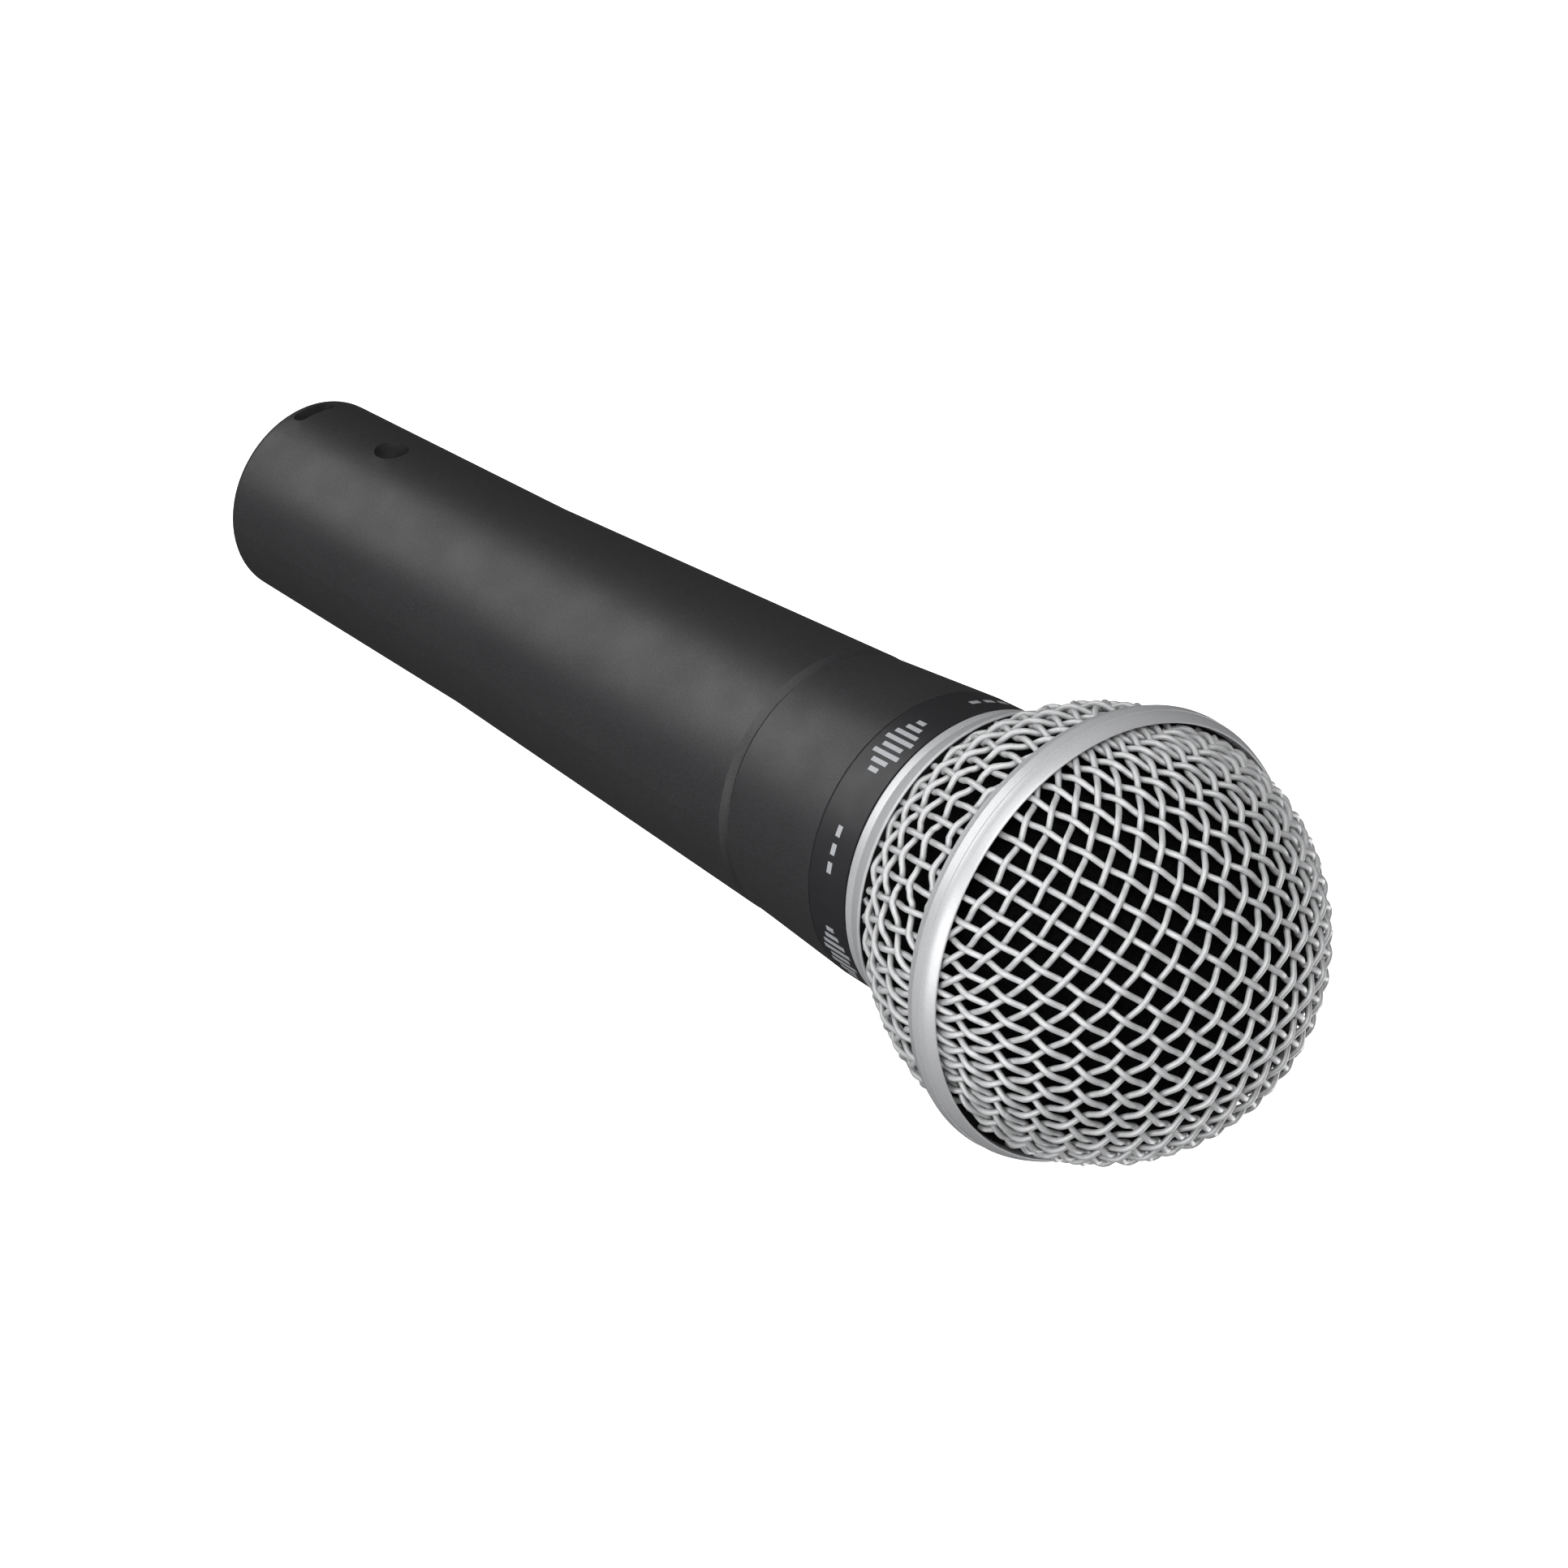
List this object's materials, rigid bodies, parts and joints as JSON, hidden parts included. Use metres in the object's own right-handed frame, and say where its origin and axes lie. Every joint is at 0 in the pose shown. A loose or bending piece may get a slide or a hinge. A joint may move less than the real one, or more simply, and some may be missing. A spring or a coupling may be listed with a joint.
{
  "type": "dynamic microphone",
  "caption": "Handheld dynamic vocal microphone with a round woven wire grille, a tapered metal handle and a male XLR socket in its tail.",
  "frame": {"origin": "centre of the flat ring at the tail's end", "axes": "+Z runs along the microphone's axis from the tail to the ball; the latch window and the set screw are on the -Y side"},
  "size_m": [0.051, 0.051, 0.162],
  "materials": {
    "handle_enamel": "satin dark grey enamel with a fine speckle",
    "label_enamel": "smooth satin dark grey",
    "mesh_silver": "matt silver plating on drawn wire",
    "ring_silver": "matt silver",
    "foam": "open-cell foam",
    "black_plastic": "matt moulded",
    "contact_gold": "gold plated",
    "steel": "bright zinc plated",
    "core_steel": "blued laminations",
    "lead_sleeve": "soft plastic sleeve",
    "winding_tape": "polyester tape over a winding",
    "potting_resin": "set resin",
    "copper_wire": "enamelled copper",
    "ring_brass": "turned",
    "film": "thin clear film",
    "magnet_grey": "sintered",
    "board_fibre": "paper laminate",
    "black_rubber": "matt",
    "screen_cloth": "fine woven cloth"
  },
  "bodies": {
    "handle": {"handle_shell": "handle_enamel", "xlr_insert": "black_plastic", "xlr_pin_1": "contact_gold", "xlr_pin_2": "contact_gold", "xlr_pin_3": "contact_gold", "tail_leads": "lead_sleeve", "transformer_core": "core_steel", "transformer_coil": "winding_tape", "transformer_potting": "potting_resin", "capsule_leads": "lead_sleeve"},
    "set_screw": {"xlr_set_screw": "steel"},
    "head_lift": {"seam_gasket": "black_rubber"},
    "head": {"head_collar": "handle_enamel", "label_band": "label_enamel", "shock_mount": "black_rubber"},
    "capsule": {"cavity_cup": "black_plastic", "terminal_board": "board_fibre", "terminal_lugs": "contact_gold", "cartridge_housing": "black_plastic", "rear_port_screen": "screen_cloth", "yoke": "steel", "magnet": "magnet_grey", "pole_piece": "steel", "top_plate": "steel", "diaphragm_ring": "ring_brass", "front_screen": "screen_cloth", "resonator_cap": "black_plastic"},
    "diaphragm": {"diaphragm": "film", "voice_coil": "copper_wire"},
    "grille_lift": {"foam_windscreen": "foam"},
    "grille": {"grille_collar": "ring_silver", "grille_rear_mesh": "mesh_silver", "grille_band": "ring_silver", "grille_dome": "mesh_silver"}
  },
  "joints": [
    {"name": "set_screw_turn", "type": "hinge", "parent": "handle", "child": "set_screw", "pos_m": [0, -0.006, 0.0169], "axis": [0, 1, 0], "range_deg": [0, 540]},
    {"name": "head_rise", "type": "slide", "parent": "handle", "child": "head_lift", "axis": [0, 0, 1], "range_m": [0, 0.003], "deforming": ["capsule_leads"]},
    {"name": "head_unscrew", "type": "hinge", "parent": "head_lift", "child": "head", "pos_m": [0, 0, 0.094], "axis": [0, 0, 1], "range_deg": [0, 1110]},
    {"name": "capsule_float", "type": "slide", "parent": "head", "child": "capsule", "axis": [0, 0, 1], "range_m": [-0.001, 0.001], "stiffness_N_per_m": 5700, "deforming": ["shock_mount"]},
    {"name": "diaphragm_travel", "type": "slide", "parent": "capsule", "child": "diaphragm", "axis": [0, 0, 1], "range_m": [-0.0003, 0.0003], "stiffness_N_per_m": 200},
    {"name": "grille_rise", "type": "slide", "parent": "head", "child": "grille_lift", "axis": [0, 0, 1], "range_m": [0, 0.004]},
    {"name": "grille_unscrew", "type": "hinge", "parent": "grille_lift", "child": "grille", "pos_m": [0, 0, 0.12], "axis": [0, 0, 1], "range_deg": [0, 1470]}
  ],
  "couplings": [
    {"joint": "head_unscrew", "follows": "head_rise", "rad_per_m": 6283.2},
    {"joint": "grille_unscrew", "follows": "grille_rise", "rad_per_m": 6283.2}
  ]
}
